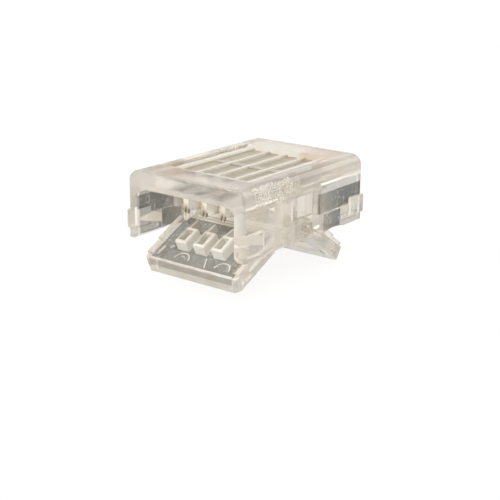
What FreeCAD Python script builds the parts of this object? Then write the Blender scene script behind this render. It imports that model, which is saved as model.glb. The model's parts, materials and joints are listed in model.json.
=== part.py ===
import FreeCAD, Part
import math
import os

# Clear clip-on connector that joins two 10 mm light strips end to end.
# X runs along the strips, Y across them, Z up. Lengths are in millimetres, angles in degrees.
# Everything is drawn on the closed housing's own level, z = 0 at the foot of its side walls.
# The two flaps then swing down to where they stand open, and the whole part is lifted
# until its lower flap touches z = 0.

# Strip and contact layout
STRIP_WIDTH = 10.0
STRIP_SIDE_GAP = 0.35
CONTACT_COUNT = 3
CONTACT_PITCH = 2.33

# Housing
LENGTH = 20.4
HEIGHT = 7.0
WALL = 1.2
ROOF = 1.8
SIDE_ROUND = 1.2
END_ROUND = 0.3
MOUTH_ROUND = 0.8

# Waist between the two grip blocks, and the thicker wall that carries the hinges there
WAIST_LENGTH = 4.3
WAIST_DEPTH = 1.0
WAIST_TOP = 4.85
WAIST_ROUND = 0.6
LEDGE_TOP = 2.1
LEDGE_DEPTH = 0.5
LEDGE_OUT = 0.25
GRIP_EDGE_ROUND = 0.35
HINGE_WALL = 1.15
LUG_DROP = 0.35

# Low band and end pads on the outside of the side walls
BAND_TOP = 2.1
BAND_OUT = 0.12
PAD_LENGTH = 2.6
PAD_OUT = 0.42
PAD_BOTTOM = 0.85
PAD_TOP = 2.8
PAD_ROUND = 0.15
FOOT_ARCH_LENGTH = 3.6
FOOT_ARCH_RISE = 0.25

FOOT_LEAD = 0.42

# Sunken panel on top with long ribs and one bar across the middle
PANEL_LENGTH = 13.2
PANEL_WIDTH = 10.6
PANEL_DEPTH = 0.62
TOP_RIB_COUNT = 5
TOP_RIB_PITCH = 2.35
TOP_RIB_FOOT = 0.52
TOP_RIB_CREST = 0.2
TOP_RIB_HEIGHT = 0.22
EDGE_RIB_FOOT = 0.95
EDGE_RIB_CREST = 0.6
EDGE_RIB_HEIGHT = 0.36
CROSS_BAR_WIDTH = 0.8
CROSS_BAR_HEIGHT = 0.12

# Guide ribs under the roof, the web that stops the strips, and the stakes that hold the contacts
GUIDE_LENGTH = 15.2
GUIDE_WIDTH = 0.99
OUTER_GUIDE_WIDTH = 0.6
GUIDE_BOTTOM = 3.3
WEB_THICKNESS = 0.9
STAKE_PLACE = 4.0
STAKE_RADIUS = 0.28
STAKE_HEAD_RADIUS = 0.48
STAKE_HEAD_HEIGHT = 0.25

# Catches inside the side walls
CATCH_LENGTH = 3.4
CATCH_IN = 0.18
CATCH_BOTTOM = 1.05
CATCH_INNER_TOP = 2.0
CATCH_PEAK_PLACE = 0.97
CATCH_TOP = 2.35
CATCH_MOUTH_GAP = 0.15
CATCH_MOUTH_TOP = 2.1
CATCH_MOUTH_BOTTOM = 1.85
CATCH_LEAD = 1.1
LATCH_POCKET_DEPTH = 0.3
LATCH_POCKET_BOTTOM = 0.38
LATCH_POCKET_END = 0.6

# Contacts, pressed from brass strip
SHEET = 0.25
CONTACT_WIDTH = 1.2
CONTACT_SIDE_GAP = 0.07
LEG_PLACE = 7.1
BEND_ROUND = 0.4
FORK_WIDTH = 0.7
FORK_SHOULDER = 3.75
FORK_SHOULDER_SLOPE = 0.2
FORK_TIP = 2.65
FORK_POINT = 0.45
NOTCH_WIDTH = 0.16
NOTCH_TOP = 3.55
STAKE_HOLE_GAP = 0.05

# Hinges
HINGE_PLACE = 1.5
HINGE_HEIGHT = 0.55
PIN_RADIUS = 0.45
PIN_LENGTH = 1.0
PIN_GAP = 0.05
KNUCKLE_RADIUS = 0.85
KNUCKLE_SIDE_GAP = 0.15
HEEL_REACH = 1.16
HEEL_ROUND = 0.16
HEEL_GAP = 0.03
FULL_OPEN = 36.0
NEAR_OPEN = 25.8
FAR_OPEN = 35.0

# Flaps
RIM_WIDTH = 0.58
FLAP_SIDE_GAP = 0.22
FLAP_BOTTOM = 0.2
FLOOR_TOP = 1.65
FLOOR_END = 9.86
LIP_END = 10.18
LIP_SHOULDER = 1.1
LIP_CORNER = 0.5
BEAD_WIDTH = 0.22
BEAD_HEIGHT = 0.14
SHOULDER_PLACE = 3.65
FLOOR_RAMP = 1.0
RIM_HEIGHT = 0.32
REAR_RIM_HEIGHT = 0.55
REAR_RIM_END = 7.35
RIM_FRONT_END = 9.55
UNDERCUT_DEPTH = 0.45
UNDERCUT_START = 4.3
UNDERCUT_END = 7.4
UNDERCUT_MARGIN = 1.15
UNDER_RIB_WIDTH = 0.6

# Latch tongues at the sides of the flaps
NUB_PLACE = 8.3
NUB_LENGTH = 1.2
NUB_OUT = 0.2
NUB_BOTTOM = 0.45
NUB_TOP = 0.9
TONGUE_SLOT_IN = 0.25
TONGUE_SLOT_WIDTH = 0.4
TONGUE_SLOT_LENGTH = 1.5

# Anvil blocks that back the strip while the forks pierce it
BLOCK_FRONT = 7.8
BLOCK_LENGTH = 2.25
BLOCK_WIDTH = 1.45
BLOCK_TOP = 2.9
BLOCK_CHAMFER = 0.12
POCKET_FRONT_WALL = 0.26
POCKET_LENGTH = 1.65
POCKET_WIDTH = 0.95
POCKET_SHIFT = 0.07
POCKET_DEPTH = 0.9
FIN_WIDTH = 0.22
FIN_LENGTH = 1.45
FIN_DROP = 0.1
FIN_LOW_HEIGHT = 0.85

# Half-round marks, an oblique bar and a small ring on the floor of the flaps
MARK_PLACE = 9.05
MARK_MIDDLE = 0.88
MARK_SPACING = 5.2
MARK_RADIUS = 0.95
MARK_WIDTH = 0.14
MARK_HEIGHT = 0.1
DASH_START = 8.1
DASH_END = 9.4
DASH_OFFSET = 0.9
DASH_SLANT = 0.55
RING_PLACE = 7.68
RING_OFFSET = -3.89
RING_RADIUS = 0.22

# Allowance that carries a cut clear of the surface it starts from
PAST = 0.5

TRAY_HALF = STRIP_WIDTH / 2 + STRIP_SIDE_GAP
FLAP_HALF = TRAY_HALF + RIM_WIDTH
CHAMBER_HALF = FLAP_HALF + FLAP_SIDE_GAP
HALF_WIDTH = CHAMBER_HALF + WALL
HALF_LENGTH = LENGTH / 2
CEILING = HEIGHT - ROOF
WAIST_HALF = HALF_WIDTH - WAIST_DEPTH
HINGE_WALL_INSIDE = WAIST_HALF - HINGE_WALL
NARROW_END = WAIST_LENGTH / 2 + WALL
KNUCKLE_HALF = HINGE_WALL_INSIDE - KNUCKLE_SIDE_GAP
CHANNEL_WIDTH = CONTACT_WIDTH + 2 * CONTACT_SIDE_GAP
CONTACT_ROWS = [(i - (CONTACT_COUNT - 1) / 2) * CONTACT_PITCH for i in range(CONTACT_COUNT)]
GUIDE_ROWS = [(i - CONTACT_COUNT / 2) * CONTACT_PITCH for i in range(CONTACT_COUNT + 1)]
TOP_ROWS = [(i - (TOP_RIB_COUNT - 1) / 2) * TOP_RIB_PITCH for i in range(TOP_RIB_COUNT)]
UP = FreeCAD.Vector(0, 0, 1)
ACROSS = FreeCAD.Vector(0, 1, 0)
ALONG = FreeCAD.Vector(1, 0, 0)
ORIGIN = FreeCAD.Vector(0, 0, 0)


def block(x0, x1, y0, y1, z0, z1):
    """A box between two corners."""
    corner = FreeCAD.Vector(min(x0, x1), min(y0, y1), min(z0, z1))
    return Part.makeBox(abs(x1 - x0), abs(y1 - y0), abs(z1 - z0), corner)


def rod_across(x, z, radius, y0, y1):
    """A round bar along Y."""
    return Part.makeCylinder(radius, y1 - y0, FreeCAD.Vector(x, y0, z), ACROSS)


def prism_along_y(outline, y0, y1):
    """A side outline of (x, z) points, carried from y0 to y1."""
    points = [FreeCAD.Vector(x, y0, z) for x, z in outline]
    face = Part.Face(Part.makePolygon(points + points[:1]))
    return face.extrude(FreeCAD.Vector(0, y1 - y0, 0))


def prism_along_x(outline, x0, x1):
    """An end outline of (y, z) points, carried from x0 to x1."""
    points = [FreeCAD.Vector(x0, y, z) for y, z in outline]
    face = Part.Face(Part.makePolygon(points + points[:1]))
    return face.extrude(FreeCAD.Vector(x1 - x0, 0, 0))


def prism_along_z(outline, z0, z1):
    """A plan outline of (x, y) points, carried from z0 to z1."""
    points = [FreeCAD.Vector(x, y, z0) for x, y in outline]
    face = Part.Face(Part.makePolygon(points + points[:1]))
    return face.extrude(FreeCAD.Vector(0, 0, z1 - z0))


def direction_of(edge):
    """Unit direction of a straight edge, or None for a curve or a point."""
    if edge.Degenerated or edge.Curve.TypeId != "Part::GeomLine":
        return None
    return edge.tangentAt(edge.FirstParameter)


def straight_edges(shape, axis, wanted):
    """Straight edges parallel to an axis whose middle satisfies a test."""
    found = []
    for edge in shape.Edges:
        direction = direction_of(edge)
        if direction and abs(direction.dot(axis)) > 0.999 and wanted(edge.CenterOfMass):
            found.append(edge)
    return found


def turned_half(shape):
    """The same shape turned half a turn about the vertical middle axis."""
    copy = shape.copy()
    copy.rotate(ORIGIN, UP, 180)
    return copy


def mirrored_across(shape):
    """The same shape reflected to the other side of the strip's middle line."""
    return shape.mirror(ORIGIN, ACROSS)


def on_all_corners(shape):
    """Four copies, one for each combination of end and side."""
    pair = [shape, mirrored_across(shape)]
    return pair + [turned_half(item) for item in pair]


def outer_body():
    """Outside of the housing before any hollow: wide rounds along the sides, tight ones at the ends."""
    body = block(-HALF_LENGTH, HALF_LENGTH, -HALF_WIDTH, HALF_WIDTH, 0, HEIGHT)
    body = body.makeFillet(SIDE_ROUND, straight_edges(body, ALONG, lambda p: p.z > HEIGHT - 0.01))
    ends = [edge for edge in body.Edges
            if edge.BoundBox.XLength < 0.01 and edge.CenterOfMass.z > 0.01]
    return body.makeFillet(END_ROUND, ends)


def side_belt(length, out, bottom, top):
    """A raised belt round one end of the housing, from its end face inwards."""
    half = HALF_WIDTH + out
    belt = block(HALF_LENGTH - length, HALF_LENGTH, -half, half, bottom, top)
    corners = straight_edges(belt, UP, lambda p: p.x > HALF_LENGTH - length / 2)
    return belt.makeFillet(END_ROUND, corners)


def grip_pads():
    """The pads that stand out at one end, with their long edges rounded."""
    pad = side_belt(PAD_LENGTH, PAD_OUT, PAD_BOTTOM, PAD_TOP)
    long_edges = straight_edges(pad, ALONG, lambda p: True)
    return pad.makeFillet(PAD_ROUND, long_edges)


def waist_ledge():
    """A narrow ledge along the foot of the waist, in line with the top of the belt."""
    half = WAIST_LENGTH / 2
    bottom = LEDGE_TOP - LEDGE_DEPTH
    return block(-half, half, WAIST_HALF - HINGE_WALL / 2, WAIST_HALF + LEDGE_OUT, bottom, LEDGE_TOP)


def grip_blocks(body):
    """Belts and pads outside, then the waist between the two grip blocks."""
    band = side_belt(HALF_LENGTH, BAND_OUT, 0, BAND_TOP)
    pad = grip_pads()
    body = body.fuse([band, turned_half(band), pad, turned_half(pad)])
    reach = HALF_WIDTH + PAD_OUT + PAST
    half = WAIST_LENGTH / 2
    recess = block(-half, half, WAIST_HALF, reach, -PAST, WAIST_TOP)
    inner_top = straight_edges(recess, ALONG, lambda p: p.y < WAIST_HALF + 0.01 and p.z > 0)
    recess = recess.makeFillet(WAIST_ROUND, inner_top)
    body = body.cut([recess, mirrored_across(recess)]).fuse([waist_ledge(), mirrored_across(waist_ledge())])
    grip_edges = straight_edges(
        body, UP, lambda p: abs(abs(p.x) - half) < 0.01 and abs(p.y) > HALF_WIDTH - 0.01)
    return body.makeFillet(GRIP_EDGE_ROUND, [e for e in grip_edges if e.CenterOfMass.z > BAND_TOP])


def foot_arches():
    """Shallow arches under the side walls, between the pads and the waist."""
    middle = (WAIST_LENGTH / 2 + HALF_LENGTH - PAD_LENGTH) / 2
    radius = FOOT_ARCH_LENGTH ** 2 / (8 * FOOT_ARCH_RISE) + FOOT_ARCH_RISE / 2
    centre = FOOT_ARCH_RISE - radius
    reach = HALF_WIDTH + PAD_OUT + PAST
    return [rod_across(side * middle, centre, radius, -reach, reach) for side in (-1, 1)]


def chamber():
    """The hollow of one end: wide for the flap, narrower between the hinge walls."""
    stop = WEB_THICKNESS / 2
    wide = block(NARROW_END, HALF_LENGTH + PAST, -CHAMBER_HALF, CHAMBER_HALF, -PAST, CEILING)
    upper = straight_edges(wide, ALONG, lambda p: p.z > CEILING - 0.01)
    wide = wide.makeFillet(MOUTH_ROUND, upper)
    narrow = block(stop, NARROW_END + PAST, -HINGE_WALL_INSIDE, HINGE_WALL_INSIDE, -PAST, CEILING)
    low = CHAMBER_HALF + FOOT_LEAD + PAST
    lead = prism_along_x(
        [(-low, -PAST), (-CHAMBER_HALF, FOOT_LEAD), (CHAMBER_HALF, FOOT_LEAD), (low, -PAST)],
        NARROW_END, HALF_LENGTH + PAST)
    return wide.fuse([narrow, lead])


def hinge_lug():
    """Rounded foot of the hinge wall round one pin hole, lower than the side walls."""
    lug = rod_across(HINGE_PLACE, HINGE_HEIGHT, HINGE_HEIGHT + LUG_DROP, HINGE_WALL_INSIDE, WAIST_HALF)
    bridge = block(0, HINGE_PLACE, HINGE_WALL_INSIDE, WAIST_HALF, -LUG_DROP, HINGE_HEIGHT)
    return lug.fuse(bridge)


def pin_hole():
    """Through hole for one pair of hinge pins."""
    return rod_across(HINGE_PLACE, HINGE_HEIGHT, PIN_RADIUS + PIN_GAP, -HALF_WIDTH, HALF_WIDTH)


def guide_ribs():
    """Long ribs under the roof, one each side of every contact, the two outermost thinner."""
    half = GUIDE_WIDTH / 2
    edge = GUIDE_ROWS[-1] - half
    outer = [(edge, edge + OUTER_GUIDE_WIDTH), (-edge - OUTER_GUIDE_WIDTH, -edge)]
    sides = outer + [(y - half, y + half) for y in GUIDE_ROWS[1:-1]]
    return [block(-GUIDE_LENGTH / 2, GUIDE_LENGTH / 2, low, high, GUIDE_BOTTOM, CEILING + PAST)
            for low, high in sides]


def contact_channels():
    """Slots that let the contacts be pushed up through the middle web."""
    half = CHANNEL_WIDTH / 2
    reach = WEB_THICKNESS / 2 + PAST
    return [block(-reach, reach, y - half, y + half, -PAST, CEILING) for y in CONTACT_ROWS]


def stakes():
    """Headed stakes that hold each contact against the ceiling."""
    found = []
    for y in CONTACT_ROWS:
        for x in (-STAKE_PLACE, STAKE_PLACE):
            shoulder = FreeCAD.Vector(x, y, CEILING - SHEET)
            foot = FreeCAD.Vector(x, y, CEILING - SHEET - STAKE_HEAD_HEIGHT)
            head = Part.makeCylinder(STAKE_HEAD_RADIUS, STAKE_HEAD_HEIGHT, foot, UP)
            neck = Part.makeCylinder(STAKE_RADIUS, SHEET + PAST, shoulder, UP)
            found.append(head.fuse(neck))
    return found


def catch():
    """Wedge on the inside of a side wall, thin at the mouth, with a sloped lead-in there."""
    inside = CHAMBER_HALF - CATCH_IN
    start = HALF_LENGTH - CATCH_LENGTH
    end = HALF_LENGTH - CATCH_MOUTH_GAP
    outline = [(start, CATCH_BOTTOM), (start, CATCH_INNER_TOP), (start + CATCH_PEAK_PLACE, CATCH_TOP),
               (end, CATCH_MOUTH_TOP), (end, CATCH_MOUTH_BOTTOM)]
    wedge = prism_along_y(outline, inside, CHAMBER_HALF + WALL / 2)
    lead = [(HALF_LENGTH - CATCH_LEAD, inside), (HALF_LENGTH, CHAMBER_HALF), (HALF_LENGTH, inside - PAST),
            (HALF_LENGTH - CATCH_LEAD, inside - PAST)]
    return wedge.cut(prism_along_z(lead, 0, HEIGHT))


def latch_pocket():
    """Pocket in a side wall that takes the latch nub of a closed flap."""
    start = HALF_LENGTH - CATCH_LENGTH
    end = HALF_LENGTH - LATCH_POCKET_END
    deep = CHAMBER_HALF + LATCH_POCKET_DEPTH
    return block(start, end, CHAMBER_HALF - PAST, deep, LATCH_POCKET_BOTTOM, CATCH_BOTTOM)


def top_rib(y, foot, crest, height):
    """One long rib on the floor of the top panel, with sloped flanks."""
    floor = HEIGHT - PANEL_DEPTH
    outline = [(y - foot / 2, floor - PAST), (y - foot / 2, floor), (y - crest / 2, floor + height),
               (y + crest / 2, floor + height), (y + foot / 2, floor), (y + foot / 2, floor - PAST)]
    return prism_along_x(outline, -PANEL_LENGTH / 2, PANEL_LENGTH / 2)


def top_panel():
    """What is taken out of the roof: a shallow box, less its ribs and its cross bar."""
    half_length = PANEL_LENGTH / 2
    half_width = PANEL_WIDTH / 2
    floor = HEIGHT - PANEL_DEPTH
    hollow = block(-half_length, half_length, -half_width, half_width, floor, HEIGHT + PAST)
    ribs = [top_rib(y, TOP_RIB_FOOT, TOP_RIB_CREST, TOP_RIB_HEIGHT) for y in TOP_ROWS[1:-1]]
    ribs += [top_rib(y, EDGE_RIB_FOOT, EDGE_RIB_CREST, EDGE_RIB_HEIGHT) for y in (TOP_ROWS[0], TOP_ROWS[-1])]
    half = CROSS_BAR_WIDTH / 2
    bar = block(-half, half, -half_width, half_width, floor - PAST, floor + CROSS_BAR_HEIGHT)
    return hollow.cut(ribs + [bar])


def make_housing():
    """The one-piece clear moulding that holds the contacts and the flaps."""
    body = grip_blocks(outer_body())
    body = body.cut([chamber(), turned_half(chamber())] + foot_arches())
    body = body.fuse(on_all_corners(hinge_lug()) + guide_ribs() + on_all_corners(catch()))
    holes = [pin_hole(), turned_half(pin_hole())]
    body = body.cut(holes + on_all_corners(latch_pocket()) + contact_channels() + [top_panel()])
    return body.fuse(stakes()).removeSplitter()


def fork(x):
    """One leg of a contact with its two piercing points, at one end of the strip."""
    wide = CONTACT_WIDTH / 2
    narrow = FORK_WIDTH / 2
    notch = NOTCH_WIDTH / 2
    point = (narrow + notch) / 2
    right = [(wide, CEILING), (wide, FORK_SHOULDER), (narrow, FORK_SHOULDER - FORK_SHOULDER_SLOPE),
             (narrow, FORK_TIP + FORK_POINT), (point, FORK_TIP), (notch, FORK_TIP + FORK_POINT),
             (0, NOTCH_TOP)]
    left = [(-y, z) for y, z in reversed(right[:-1])]
    return prism_along_x(right + left, x - SHEET / 2, x + SHEET / 2)


def make_contact(y):
    """One brass contact: a flat strip under the roof with a fork bent down at each end."""
    end = LEG_PLACE + SHEET / 2
    half = CONTACT_WIDTH / 2
    body = block(-end, end, -half, half, CEILING - SHEET, CEILING)
    body = body.fuse([fork(-LEG_PLACE), fork(LEG_PLACE)]).removeSplitter()
    outer = straight_edges(body, ACROSS, lambda p: abs(p.x) > end - 0.01 and p.z > CEILING - 0.01)
    body = body.makeFillet(BEND_ROUND, outer)
    inside = LEG_PLACE - SHEET / 2
    inner = straight_edges(
        body, ACROSS, lambda p: abs(abs(p.x) - inside) < 0.01 and abs(p.z - CEILING + SHEET) < 0.01)
    body = body.makeFillet(BEND_ROUND - SHEET, inner)
    for x in (-STAKE_PLACE, STAKE_PLACE):
        base = FreeCAD.Vector(x, 0, CEILING - SHEET - PAST)
        body = body.cut(Part.makeCylinder(STAKE_RADIUS + STAKE_HOLE_GAP, SHEET + 2 * PAST, base, UP))
    body.translate(FreeCAD.Vector(0, y, 0))
    return body


def flap_plate():
    """Floor of a flap with its lip, from the hinge to the mouth."""
    neck = KNUCKLE_RADIUS * 0.8
    outline = [(HINGE_PLACE, HINGE_HEIGHT - neck), (SHOULDER_PLACE, FLAP_BOTTOM), (LIP_END, FLAP_BOTTOM),
               (LIP_END, LIP_SHOULDER), (FLOOR_END, FLOOR_TOP), (SHOULDER_PLACE - FLOOR_RAMP, FLOOR_TOP),
               (HINGE_PLACE, HINGE_HEIGHT + neck)]
    plate = prism_along_y(outline, -FLAP_HALF, FLAP_HALF)
    step = LIP_CORNER
    plan = [(0, -KNUCKLE_HALF), (SHOULDER_PLACE, -KNUCKLE_HALF), (SHOULDER_PLACE, -FLAP_HALF),
            (LIP_END - step, -FLAP_HALF), (LIP_END, -FLAP_HALF + step), (LIP_END, FLAP_HALF - step),
            (LIP_END - step, FLAP_HALF), (SHOULDER_PLACE, FLAP_HALF), (SHOULDER_PLACE, KNUCKLE_HALF),
            (0, KNUCKLE_HALF)]
    return plate.common(prism_along_z(plan, -PAST, HEIGHT))


def rims():
    """Low side rims that keep the strip in the tray, taller behind the latches."""
    found = []
    front = RIM_FRONT_END - LIP_CORNER / 2
    rear_top = FLOOR_TOP + REAR_RIM_HEIGHT
    for side in (-1, 1):
        inner = side * TRAY_HALF
        outer = side * FLAP_HALF
        found.append(block(SHOULDER_PLACE, front, inner, outer, FLAP_BOTTOM, FLOOR_TOP + RIM_HEIGHT))
        found.append(block(SHOULDER_PLACE, REAR_RIM_END, inner, outer, FLAP_BOTTOM, rear_top))
    return found


def front_bead():
    """Low bead along the front edge of the tray floor, between the rims."""
    return block(FLOOR_END - BEAD_WIDTH, FLOOR_END, -TRAY_HALF, TRAY_HALF, FLAP_BOTTOM + UNDERCUT_DEPTH,
                 FLOOR_TOP + BEAD_HEIGHT)


def knuckle():
    """Hinge barrel with its two pins and the heel that stops the flap when it is wide open."""
    barrel = rod_across(HINGE_PLACE, HINGE_HEIGHT, KNUCKLE_RADIUS, -KNUCKLE_HALF, KNUCKLE_HALF)
    pin_end = KNUCKLE_HALF + PIN_LENGTH
    pins = rod_across(HINGE_PLACE, HINGE_HEIGHT, PIN_RADIUS, -pin_end, pin_end)
    room = HINGE_PLACE - WEB_THICKNESS / 2 - HEEL_GAP
    reach = HEEL_REACH - HEEL_ROUND
    angle = math.radians(FULL_OPEN) + math.acos((room - HEEL_ROUND) / reach)
    tip_x = HINGE_PLACE - reach * math.cos(angle)
    tip_z = HINGE_HEIGHT - reach * math.sin(angle)
    heel = rod_across(tip_x, tip_z, HEEL_ROUND, -KNUCKLE_HALF, KNUCKLE_HALF)
    return [barrel, pins, heel]


def nub(side):
    """Latch nub on the side of a flap, with a sloped underside."""
    root = side * (FLAP_HALF - WALL / 4)
    out = side * (FLAP_HALF + NUB_OUT)
    edge = side * FLAP_HALF
    outline = [(root, NUB_BOTTOM), (edge, NUB_BOTTOM), (out, NUB_TOP - NUB_OUT), (out, NUB_TOP),
               (root, NUB_TOP)]
    return prism_along_x(outline, NUB_PLACE - NUB_LENGTH / 2, NUB_PLACE + NUB_LENGTH / 2)


def tongue_slot(side):
    """Slot through the floor that lets a latch tongue flex."""
    outer = side * (TRAY_HALF - TONGUE_SLOT_IN)
    inner = outer - side * TONGUE_SLOT_WIDTH
    half = TONGUE_SLOT_LENGTH / 2
    return block(NUB_PLACE - half, NUB_PLACE + half, inner, outer, -PAST, FLOOR_TOP + PAST)


def anvil(y):
    """Chunky open block under one fork, with the fin that runs back from one of its walls."""
    half = BLOCK_WIDTH / 2
    back = BLOCK_FRONT - BLOCK_LENGTH
    body = block(back, BLOCK_FRONT, y - half, y + half, FLOOR_TOP - PAST, BLOCK_TOP)
    top = [edge for edge in body.Edges if edge.BoundBox.ZMin > BLOCK_TOP - 0.01]
    body = body.makeChamfer(BLOCK_CHAMFER, top)
    low = FLOOR_TOP + FIN_LOW_HEIGHT
    outline = [(back + BLOCK_CHAMFER, BLOCK_TOP - BLOCK_CHAMFER - FIN_DROP), (back - FIN_LENGTH, low),
               (back - FIN_LENGTH, FLOOR_TOP - PAST), (back + BLOCK_CHAMFER, FLOOR_TOP - PAST)]
    fin = prism_along_y(outline, y - half, y - half + FIN_WIDTH)
    front = BLOCK_FRONT - POCKET_FRONT_WALL
    side = y - POCKET_SHIFT - POCKET_WIDTH / 2
    hollow = block(front - POCKET_LENGTH, front, side, side + POCKET_WIDTH,
                   BLOCK_TOP - POCKET_DEPTH, BLOCK_TOP + PAST)
    return body.fuse(fin).cut(hollow)


def floor_marks():
    """Two low half rings, with an oblique bar between them, and a small ring beside the anvils."""
    found = []
    for y in (MARK_MIDDLE - MARK_SPACING / 2, MARK_MIDDLE + MARK_SPACING / 2):
        centre = FreeCAD.Vector(MARK_PLACE, y, FLOOR_TOP)
        ring = Part.makeCylinder(MARK_RADIUS, MARK_HEIGHT, centre, UP)
        ring = ring.cut(Part.makeCylinder(MARK_RADIUS - MARK_WIDTH, MARK_HEIGHT, centre, UP))
        front = block(MARK_PLACE, MARK_PLACE + 2 * MARK_RADIUS, y - 2 * MARK_RADIUS, y + 2 * MARK_RADIUS,
                      FLOOR_TOP, FLOOR_TOP + MARK_HEIGHT)
        found.append(ring.cut(front))
    slant = DASH_OFFSET + DASH_SLANT
    bar = [(DASH_START, DASH_OFFSET), (DASH_END, slant), (DASH_END, slant + MARK_WIDTH),
           (DASH_START, DASH_OFFSET + MARK_WIDTH)]
    found.append(prism_along_z(bar, FLOOR_TOP, FLOOR_TOP + MARK_HEIGHT))
    centre = FreeCAD.Vector(RING_PLACE, RING_OFFSET, FLOOR_TOP)
    ring = Part.makeCylinder(RING_RADIUS, MARK_HEIGHT, centre, UP)
    found.append(ring.cut(Part.makeCylinder(RING_RADIUS / 2, MARK_HEIGHT, centre, UP)))
    return found


def undercut():
    """Shallow hollows under the floor, parted by two stiffening ribs."""
    half = TRAY_HALF - UNDERCUT_MARGIN
    low = FLAP_BOTTOM - PAST
    high = FLAP_BOTTOM + UNDERCUT_DEPTH
    hollow = block(UNDERCUT_START, UNDERCUT_END, -half, half, low, high)
    ribs = [block(UNDERCUT_START, UNDERCUT_END, y - UNDER_RIB_WIDTH / 2, y + UNDER_RIB_WIDTH / 2, low, high)
            for y in GUIDE_ROWS[1:-1]]
    return hollow.cut(ribs)


def make_flap():
    """A closed flap on the +X end: floor, rims, anvils, latches and hinge in one moulding."""
    body = flap_plate().fuse(rims() + knuckle() + [front_bead()] + [anvil(y) for y in CONTACT_ROWS])
    body = body.fuse(floor_marks())
    body = body.fuse([nub(-1), nub(1)])
    body = body.cut([tongue_slot(-1), tongue_slot(1), undercut()])
    return body.removeSplitter()


def opened(flap, angle):
    """A +X flap swung down about its hinge."""
    swung = flap.copy()
    swung.rotate(FreeCAD.Vector(HINGE_PLACE, 0, HINGE_HEIGHT), ACROSS, angle)
    return swung


def make_part():
    """All pieces by name, where they stand."""
    flap = make_flap()
    pieces = {
        "housing": make_housing(),
        "near_flap": turned_half(opened(flap, NEAR_OPEN)),
        "far_flap": opened(flap, FAR_OPEN),
    }
    for number, y in enumerate(CONTACT_ROWS, start=1):
        pieces["contact_" + str(number)] = make_contact(y)
    lift = -min(shape.optimalBoundingBox(False).ZMin for shape in pieces.values())
    for shape in pieces.values():
        shape.translate(FreeCAD.Vector(0, 0, lift))
    return pieces, lift


os.makedirs("parts", exist_ok=True)
made, rise = make_part()
for name, shape in made.items():
    shape.exportStep("parts/" + name + ".step")
    print(name, "solids", len(shape.Solids), "valid", shape.isValid(), "volume", round(shape.Volume, 3))
print("foot of the side walls at z", round(rise, 4))
print("hinge axes at x", HINGE_PLACE, "z", round(rise + HINGE_HEIGHT, 4))
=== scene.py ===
"""Clear clip-on connector for light strips: finishes, fine relief, light and camera."""

import bmesh
import bpy
import json
import math
from mathutils import Matrix, Vector


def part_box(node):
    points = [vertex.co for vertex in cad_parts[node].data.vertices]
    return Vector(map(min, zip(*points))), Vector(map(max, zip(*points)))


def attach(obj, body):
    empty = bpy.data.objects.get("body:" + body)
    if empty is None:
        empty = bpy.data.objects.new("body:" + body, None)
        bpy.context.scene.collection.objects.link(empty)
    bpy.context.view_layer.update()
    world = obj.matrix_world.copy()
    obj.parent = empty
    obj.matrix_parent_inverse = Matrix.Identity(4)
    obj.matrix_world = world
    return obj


MM = 0.001

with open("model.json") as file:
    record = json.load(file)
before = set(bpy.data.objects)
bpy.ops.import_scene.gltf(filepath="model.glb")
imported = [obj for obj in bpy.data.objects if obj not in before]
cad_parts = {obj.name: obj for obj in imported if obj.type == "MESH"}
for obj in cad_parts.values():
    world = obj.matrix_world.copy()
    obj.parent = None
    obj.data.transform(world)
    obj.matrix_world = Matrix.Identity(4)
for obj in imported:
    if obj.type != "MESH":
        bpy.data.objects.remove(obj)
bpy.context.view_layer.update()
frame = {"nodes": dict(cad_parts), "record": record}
housing_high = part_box("housing")[1]

# Housing, in millimetres
BODY_HEIGHT = 7.0
WALL = 1.2
SIDE = 7.35
SIDE_ROUND = 1.2
INNER_SIDE = SIDE - WALL
HALF_WAIST = 2.15
BAND_TOP = 2.1
ROOF = housing_high.z / MM
FOOT = ROOF - BODY_HEIGHT
HALF_LENGTH = housing_high.x / MM

# Top panel with its ribs
PANEL_LENGTH = 13.2
PANEL_WIDTH = 10.6
PANEL_DEPTH = 0.62
TOP_RIB_PITCH = 2.35
TOP_RIB_FOOT = 0.52
TOP_RIB_CREST = 0.2
TOP_RIB_HEIGHT = 0.22
EDGE_RIB_FOOT = 0.95
EDGE_RIB_CREST = 0.6
EDGE_RIB_HEIGHT = 0.36
CROSS_BAR_WIDTH = 0.8
CROSS_BAR_HEIGHT = 0.12

# Flaps and their hinges; heights here are above the foot of a closed flap
NEAR_OPEN = 25.8
FAR_OPEN = 35.0
HINGE_PLACE = 1.5
HINGE_HEIGHT = 0.55
TRAY_HALF = 5.35
FLOOR_TOP = 1.65
FLOOR_END = 9.86
BEAD_WIDTH = 0.22
LIP_END = 10.18
LIP_SHOULDER = 1.1

# Anvil blocks with their pockets and fins
CONTACT_PITCH = 2.33
BLOCK_FRONT = 7.8
BLOCK_LENGTH = 2.25
BLOCK_WIDTH = 1.45
BLOCK_TOP = 2.9
BLOCK_CHAMFER = 0.12
BLOCK_REACH = 3.1
BLOCK_FOOT = FLOOR_TOP + 0.03
POCKET_FRONT_WALL = 0.26
POCKET_LENGTH = 1.65
POCKET_WIDTH = 0.95
POCKET_SHIFT = 0.07
POCKET_DEPTH = 0.9
FIN_WIDTH = 0.22
FIN_LENGTH = 1.45
FIN_START = 2.68
FIN_END = 2.5

# Catch wedge at the mouth; a station is its place along the wall, two levels and inner face
CATCH_INSIDE = 5.97
CATCH_ROOT = INNER_SIDE + 0.03
CATCH_STATIONS = [
    (6.8, 1.05, 2.0, CATCH_INSIDE),
    (7.77, 1.29, 2.35, CATCH_INSIDE),
    (9.1, 1.616, 2.204, CATCH_INSIDE),
    (10.05, 1.85, 2.1, 6.125),
]

# How far a skin stands off the moulding that it covers; most skins are bright with painted
# highlight
SKIN = 0.012
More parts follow.
